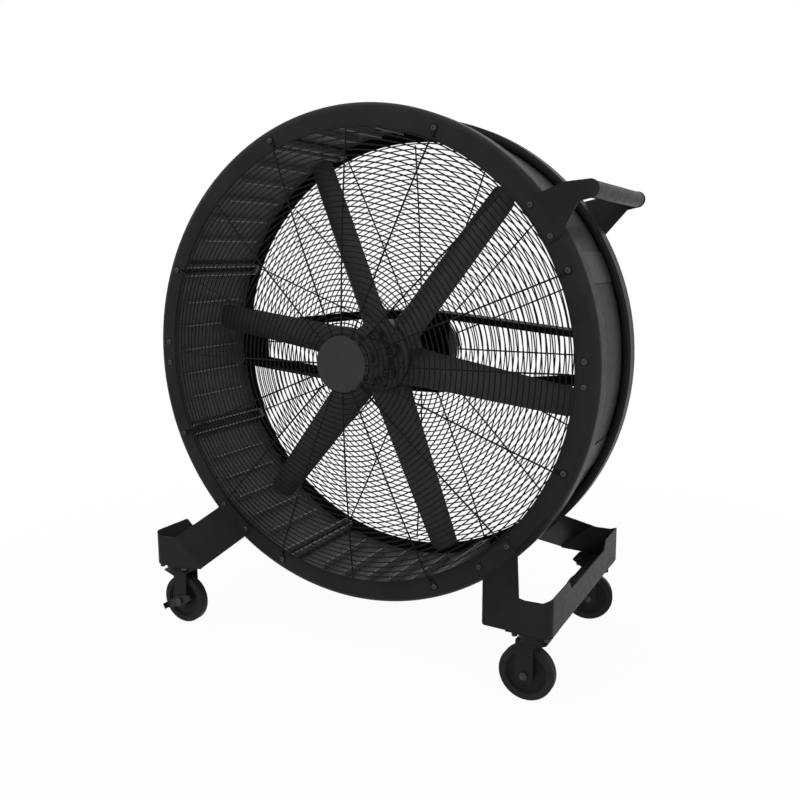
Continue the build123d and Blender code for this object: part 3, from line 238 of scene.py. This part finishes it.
def coat(name, dark, light, rough, gloss=0.3, metal=0.0, grain=900.0, grain_height=0.00006,
         cloud=9.0, edge=0.0008, warm=0.0, painted_light=(), inside=None):
    """Painted or plated surface: clouded colour, uneven gloss, fine grain and softened edges.

    painted_light = (radius, colour) pairs: painted light, a paler coat on what stands nearer to the
    drum axis than a radius;
    inside = (depth, colour, colour): painted shade and painted light on what is nearer to the drum's
    middle plane than a depth, first the painted shade inside the side panels, then the painted light
    outside them.
    """
    material = bpy.data.materials.new(name)
    material.use_nodes = True
    tree = material.node_tree
    tree.nodes.clear()
    out = tree.nodes.new("ShaderNodeOutputMaterial")
    body = shade(tree, "ShaderNodeBsdfPrincipled", Metallic=metal, Specular_IOR_Level=gloss)
    tree.links.new(body.outputs[0], out.inputs["Surface"])
    where = tree.nodes.new("ShaderNodeTexCoord").outputs["Object"]
    clouds = noise(tree, where, cloud, detail=4.0, rough=0.6)
    share = between(tree, clouds, 0.35, 0.65, 0.0, 1.0)
    colour = mixed(tree, share, grey(dark, warm), grey(light, warm))
    radius, depth = from_axis(tree, where)
    # painted light: a paler coat on what stands nearer to the drum axis than each radius
    for reach, tone in painted_light:
        painted_lit = between(tree, radius, reach, reach - 0.0003, 0.0, 1.0)
        colour = mixed(tree, painted_lit, colour, grey(tone, warm))
    # painted shade and painted light by depth: a paler coat in the recess outside the side panels,
    # nearly black inside them
    if inside:
        back = between(tree, depth, inside[0], inside[0] - 0.0006, 0.0, 1.0)
        colour = mixed(tree, back, colour, grey(inside[2], warm))
        within = between(tree, radius, PANEL_R, PANEL_R - 0.001, 0.0, 1.0)
        both = maths(tree, "MULTIPLY", back, within)
        colour = mixed(tree, both, colour, grey(inside[1], warm))
    tree.links.new(colour, body.inputs["Base Color"])
    patches = noise(tree, where, cloud * 7, detail=3.0)
    uneven = between(tree, patches, 0.3, 0.7, rough - 0.05, rough + 0.05)
    tree.links.new(uneven, body.inputs["Roughness"])
    peel = noise(tree, where, grain, detail=1.5)
    bump = shade(tree, "ShaderNodeBump", Strength=0.6, Distance=grain_height)
    tree.links.new(peel, bump.inputs["Height"])
    if edge:
        soft = shade(tree, "ShaderNodeBevel", Radius=edge)
        soft.samples = 4
        tree.links.new(soft.outputs[0], bump.inputs["Normal"])
    tree.links.new(bump.outputs[0], body.inputs["Normal"])
    return material


# depth and radii where the painted shade and painted light of the coats begin
FLANGE_IN_Y = 0.1755                 # just behind the flanges of the two rings
SKIN_IN_R = 0.60995                  # just inside the side panels' sheet
RIB_FOOT_R = 0.6080                  # sides of the ribs and posts, clear of the sheet
RIB_TOP_R = 0.5915                   # inner edges of the ribs and posts
MATERIALS = {
    # drum coat: painted shade, nearly black on inner faces between the ring flanges; painted light,
    # paler in the recess outside the side panels
    "drum_black": coat("drum_black", 0.0125, 0.0165, 0.42, gloss=0.06, edge=0.0014,
                       inside=(FLANGE_IN_Y, 0.004, 0.018)),
    "guard_black": coat("guard_black", 0.004, 0.007, 0.42, gloss=0.08, grain=1600.0, edge=0.0),
    "badge_grey": coat("badge_grey", 0.020, 0.025, 0.5, gloss=0.18, edge=0.0008),
    "zinc": coat("zinc", 0.024, 0.036, 0.30, gloss=0.35, metal=0.3, grain=2500.0, edge=0.0004),
    "tube_grey": coat("tube_grey", 0.005, 0.007, 0.42, gloss=0.07, grain=1800.0, edge=0.0006),
    # side panels: painted light, the inner face paler than the outside, rib sides paler still, rib
    # inner edges a painted highlight
    "wall_grey": coat("wall_grey", 0.028, 0.034, 0.45, gloss=0.12, edge=0.0006,
                      painted_light=((SKIN_IN_R, 0.090), (RIB_FOOT_R, 0.160), (RIB_TOP_R, 0.320))),
    "blade_grey": coat("blade_grey", 0.024, 0.030, 0.44, gloss=0.18, edge=0.0008, warm=0.03),
    "motor_black": coat("motor_black", 0.003, 0.005, 0.5, gloss=0.06, edge=0.001),
    "steel": coat("steel", 0.35, 0.45, 0.28, gloss=0.5, metal=1.0, grain=2500.0, edge=0.0004),
    "stator_copper": coat("stator_copper", 0.20, 0.26, 0.35, gloss=0.5, metal=0.6, warm=0.4, edge=0.0),
    "gland_black": coat("gland_black", 0.010, 0.014, 0.45, gloss=0.2, edge=0.0006),
    "caster_steel": coat("caster_steel", 0.006, 0.009, 0.42, gloss=0.12, edge=0.0008),
    "lever_steel": coat("lever_steel", 0.014, 0.020, 0.36, gloss=0.2, metal=0.2, edge=0.0006),
    "tyre_rubber": coat("tyre_rubber", 0.013, 0.017, 0.6, gloss=0.10, edge=0.0, warm=0.04),
    "core_black": coat("core_black", 0.006, 0.009, 0.5, gloss=0.10, edge=0.0006, warm=0.03),
}
for name, node in NODES.items():
    node.data.materials.clear()
    node.data.materials.append(MATERIALS[SLOT_OF[name]])


# ------------------------------------------------------------------ detailed pieces
def add_mesh(name, points, faces, slot_name, body):
    mesh = bpy.data.meshes.new(name)
    mesh.from_pydata(points, [], faces)
    mesh.validate()
    return add_piece(name, mesh, slot_name, body)


def add_piece(name, mesh, slot_name, body):
    mesh.materials.clear()
    mesh.materials.append(MATERIALS[slot_name])
    piece = bpy.data.objects.new(name, mesh)
    SCENE.collection.objects.link(piece)
    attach(piece, body)
    return piece


def on_drum(radius, turn, y):
    """Point at a radius and an angle in radians round the drum axis."""
    return (radius * math.cos(turn), y, AXIS_Z + radius * math.sin(turn))


def grid_faces(first, rows, columns, closed_rows=False, closed_columns=False):
    """Quads of a grid of points that were added row by row, starting at index first."""
    faces = []
    for i in range(rows if closed_rows else rows - 1):
        for j in range(columns if closed_columns else columns - 1):
            below, right = (i + 1) % rows, (j + 1) % columns
            quad = (i * columns + j, i * columns + right, below * columns + right, below * columns + j)
            faces.append(tuple(first + k for k in quad))
    return faces


# guards: round ring wires on the dome
WIRE_R = 0.0017
WIRE_TURNS = 168                     # steps round the drum, and round a wire's section
WIRE_SIDES = 8
MOTOR_WIRE_R = 0.0021
GUARD_PITCH = 0.0135
LAST_RING_R = 0.5745
GUARD_EDGE_Y = 0.1865
GUARD_RISE = 0.0382
DOME_R = (LAST_RING_R ** 2 + GUARD_RISE ** 2) / (2 * GUARD_RISE)


def dome(radius, lift=0.0):
    """Distance of the guard's dome from the drum's middle plane."""
    return math.sqrt((DOME_R + lift) ** 2 - radius ** 2) - (DOME_R - GUARD_RISE - GUARD_EDGE_Y)


def guard_wires(name, side, first_r, extra=()):
    """Ring wires from the rim inwards to a radius; extra = (radius, depth, wire radius) rings."""
    rings = []
    radius = LAST_RING_R
    while radius >= first_r:
        rings.append((radius, dome(radius), WIRE_R))
        radius -= GUARD_PITCH
    points, faces = [], []
    for radius, depth, wire in rings + list(extra):
        first = len(points)
        for i in range(WIRE_TURNS):
            turn = 2 * math.pi * i / WIRE_TURNS
            for j in range(WIRE_SIDES):
                lean = 2 * math.pi * j / WIRE_SIDES
                y = side * (depth + wire * math.sin(lean))
                points.append(on_drum(radius + wire * math.cos(lean), turn, y))
        faces += grid_faces(first, WIRE_TURNS, WIRE_SIDES, True, True)
    wires = add_mesh(name, points, faces, "guard_black", "drum")
    wires.data.shade_smooth()
    return wires


FRONT_FIRST_R = 0.0727               # where the rings end, inwards
REAR_FIRST_R = 0.1247
MOTOR_RING_R = 0.120
MOTOR_RING_LIFT = -0.0004
MOTOR_RING = (MOTOR_RING_R, dome(MOTOR_RING_R, MOTOR_RING_LIFT), MOTOR_WIRE_R)
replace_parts(guard_wires("guard_wires_front", -1, FRONT_FIRST_R), "front_guard_rings")
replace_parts(guard_wires("guard_wires_rear", 1, REAR_FIRST_R, [MOTOR_RING]), "rear_guard_rings")

# side panels: sheet with fine rolled ridges round the drum, and ribs with rounded inner edges
PANELS = 8
PANEL_T = 0.0015
PANEL_HALF = 0.1747
PANEL_TURN = math.radians(19.966)    # from a panel's middle to its end
RIDGE_PITCH = 0.012
RIDGE_DEEP = 0.0009
RIBS = 5                             # on each panel
RIB_HALF = 0.117
RIB_IN = 0.58975
RIB_T = 0.003
RIB_FOOT = 0.002                     # from the panel's outside to where a rib starts, in the sheet
RIB_ARC = 6                          # steps of a rib's rounded edge
PANEL_ROWS = 233                     # points along the drum
PANEL_COLUMNS = 17                   # points round the drum


def ridge(y):
    """Radius of the panel's outside, with a groove between two ridges."""
    return PANEL_R - RIDGE_DEEP * (0.5 - 0.5 * math.cos(2 * math.pi * y / RIDGE_PITCH)) ** 2


def ridged_panels():
    points, faces = [], []
    rows, columns = PANEL_ROWS, PANEL_COLUMNS
    for k in range(PANELS):
        middle = math.radians(360 / PANELS * k)
        skins = []
        for inset in (0.0, PANEL_T):
            first = len(points)
            for i in range(rows):
                y = -PANEL_HALF + 2 * PANEL_HALF * i / (rows - 1)
                for j in range(columns):
                    turn = middle + PANEL_TURN * (2 * j / (columns - 1) - 1)
                    points.append(on_drum(ridge(y) - inset, turn, y))
            skin = grid_faces(first, rows, columns)
            faces += skin if inset else [face[::-1] for face in skin]
            skins.append(first)
        outer, inner = skins
        # points round the edge of one skin
        rim = [i * columns for i in range(rows)]
        rim += [(rows - 1) * columns + j for j in range(1, columns)]
        rim += [i * columns + columns - 1 for i in range(rows - 2, -1, -1)]
        rim += list(range(columns - 2, 0, -1))
        for a, b in zip(rim, rim[1:] + rim[:1]):
            faces.append((outer + a, outer + b, inner + b, inner + a))
        for i in range(RIBS):
            add_rib(points, faces, middle + PANEL_TURN * (2 * (i + 1) / (RIBS + 1) - 1))
    return add_mesh("ridged_side_panels", points, faces, "wall_grey", "drum")


def add_rib(points, faces, turn):
    """Rib along the drum: a flat bar on edge with a rounded inner edge."""
    half = RIB_T / 2
    profile = [(half, PANEL_R - RIB_FOOT), (half, RIB_IN + half)]
    for j in range(1, RIB_ARC):
        lean = math.pi * j / RIB_ARC
        profile.append((half * math.cos(lean), RIB_IN + half - half * math.sin(lean)))
    profile += [(-half, RIB_IN + half), (-half, PANEL_R - RIB_FOOT)]
    first = len(points)
    for y in (-RIB_HALF, RIB_HALF):
        for across, radius in profile:
            points.append(on_drum(radius, turn + across / radius, y))
    count = len(profile)
    faces += grid_faces(first, 2, count, closed_columns=True)
    faces.append(tuple(first + i for i in range(count)))
    faces.append(tuple(first + 2 * count - 1 - i for i in range(count)))


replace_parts(ridged_panels(), "side_panels")

# returned edges of the two ring lips, down to the side sheet
LIP_END = 0.118                      # from the drum's middle plane
LIP_R = 0.6328
RETURN_T = 0.0012
RETURN_BEND = (0.0010, 0.0012)       # inwards and towards the middle plane, where the lip turns in
RETURN_IN_R = 0.6145
RETURN_RISE = 0.0030                 # back outwards, at the side sheet
RETURN_TURNS = 180


def lip_return(name, side):
    profile = [(LIP_R, LIP_END), (LIP_R - RETURN_BEND[0], LIP_END - RETURN_BEND[1])]
    profile.append((RETURN_IN_R, LIP_END + RETURN_RISE))
    profile += [(radius, y + RETURN_T) for radius, y in reversed(profile)]
    points = []
    for i in range(RETURN_TURNS):
        for radius, y in profile:
            points.append(on_drum(radius, 2 * math.pi * i / RETURN_TURNS, side * y))
    faces = grid_faces(0, RETURN_TURNS, len(profile), True, True)
    strip = add_mesh(name, points, faces, "drum_black", "drum")
    strip.data.shade_smooth()


lip_return("lip_return_front", -1)
lip_return("lip_return_rear", 1)

# hub: one casting that flows into the blade roots
BLADE_DEGS = [-10 + 60 * i for i in range(6)]
ROOT_END = 0.168                     # distances from the drum axis
ROOT_START = 0.095
ROOT_CUTS = (ROOT_END, 0.155, 0.143, 0.131, 0.120, 0.110, 0.100)
ROOT_SKIN = 0.0004                   # least the root stands proud of its blade
ROOT_SWELL = 0.0045
SWELL_CURVE = 1.6
CUT_MARGIN = 1e-4
WELD = 1e-6
HUB_VOXEL = 0.0022
HUB_SMOOTHING = 7


def blade_root(number, deg):
    """Inner end of a blade, swelling towards the hub."""
    root = bmesh.new()
    root.from_mesh(NODES[f"blade_{number}"].data)
    bmesh.ops.remove_doubles(root, verts=root.verts, dist=WELD)
    turn = math.radians(deg)
    outwards = Vector((math.cos(turn), 0, math.sin(turn)))
    for reach in ROOT_CUTS:
        place = outwards * reach + Vector((0, 0, AXIS_Z))
        everything = list(root.verts) + list(root.edges) + list(root.faces)
        bmesh.ops.bisect_plane(root, geom=everything, plane_co=place, plane_no=outwards,
                               clear_outer=reach == ROOT_END)
    bmesh.ops.holes_fill(root, edges=[edge for edge in root.edges if edge.is_boundary])
    root.normal_update()
    moves = []
    for vert in root.verts:
        reach = (vert.co - Vector((0, 0, AXIS_Z))).dot(outwards)
        share = min(1.0, max(0.0, (ROOT_END - reach) / (ROOT_END - ROOT_START)))
        on_cut = reach >= ROOT_END - CUT_MARGIN
        swell = 0.0 if on_cut else ROOT_SKIN + ROOT_SWELL * share ** SWELL_CURVE
        moves.append(vert.normal * swell)
    for vert, move in zip(root.verts, moves):
        vert.co += move
    return root


def hub_casting():
    """Hub and blade roots melted into one mesh."""
    form = bmesh.new()
    form.from_mesh(NODES["fan_hub"].data)
    bmesh.ops.remove_doubles(form, verts=form.verts, dist=WELD)
    for number, deg in enumerate(BLADE_DEGS, 1):
        root = blade_root(number, deg)
        part = bpy.data.meshes.new("root")
        root.to_mesh(part)
        root.free()
        form.from_mesh(part)
        bpy.data.meshes.remove(part)
    rough = bpy.data.meshes.new("hub_rough")
    form.to_mesh(rough)
    form.free()
    block = bpy.data.objects.new("hub_rough", rough)
    SCENE.collection.objects.link(block)
    melt = block.modifiers.new("melt", "REMESH")
    melt.mode = "VOXEL"
    melt.voxel_size = HUB_VOXEL
    melt.use_smooth_shade = True
    even = block.modifiers.new("even", "SMOOTH")
    even.factor = 0.5
    even.iterations = HUB_SMOOTHING
    bpy.context.view_layer.update()
    graph = bpy.context.evaluated_depsgraph_get()
    mesh = bpy.data.meshes.new_from_object(block.evaluated_get(graph))
    bpy.data.objects.remove(block)
    mesh.name = "hub_casting"
    mesh.shade_smooth()
    return add_piece("hub_casting", mesh, "blade_grey", "rotor")


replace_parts(hub_casting(), "fan_hub")

SCENE.view_settings.view_transform = "Standard"
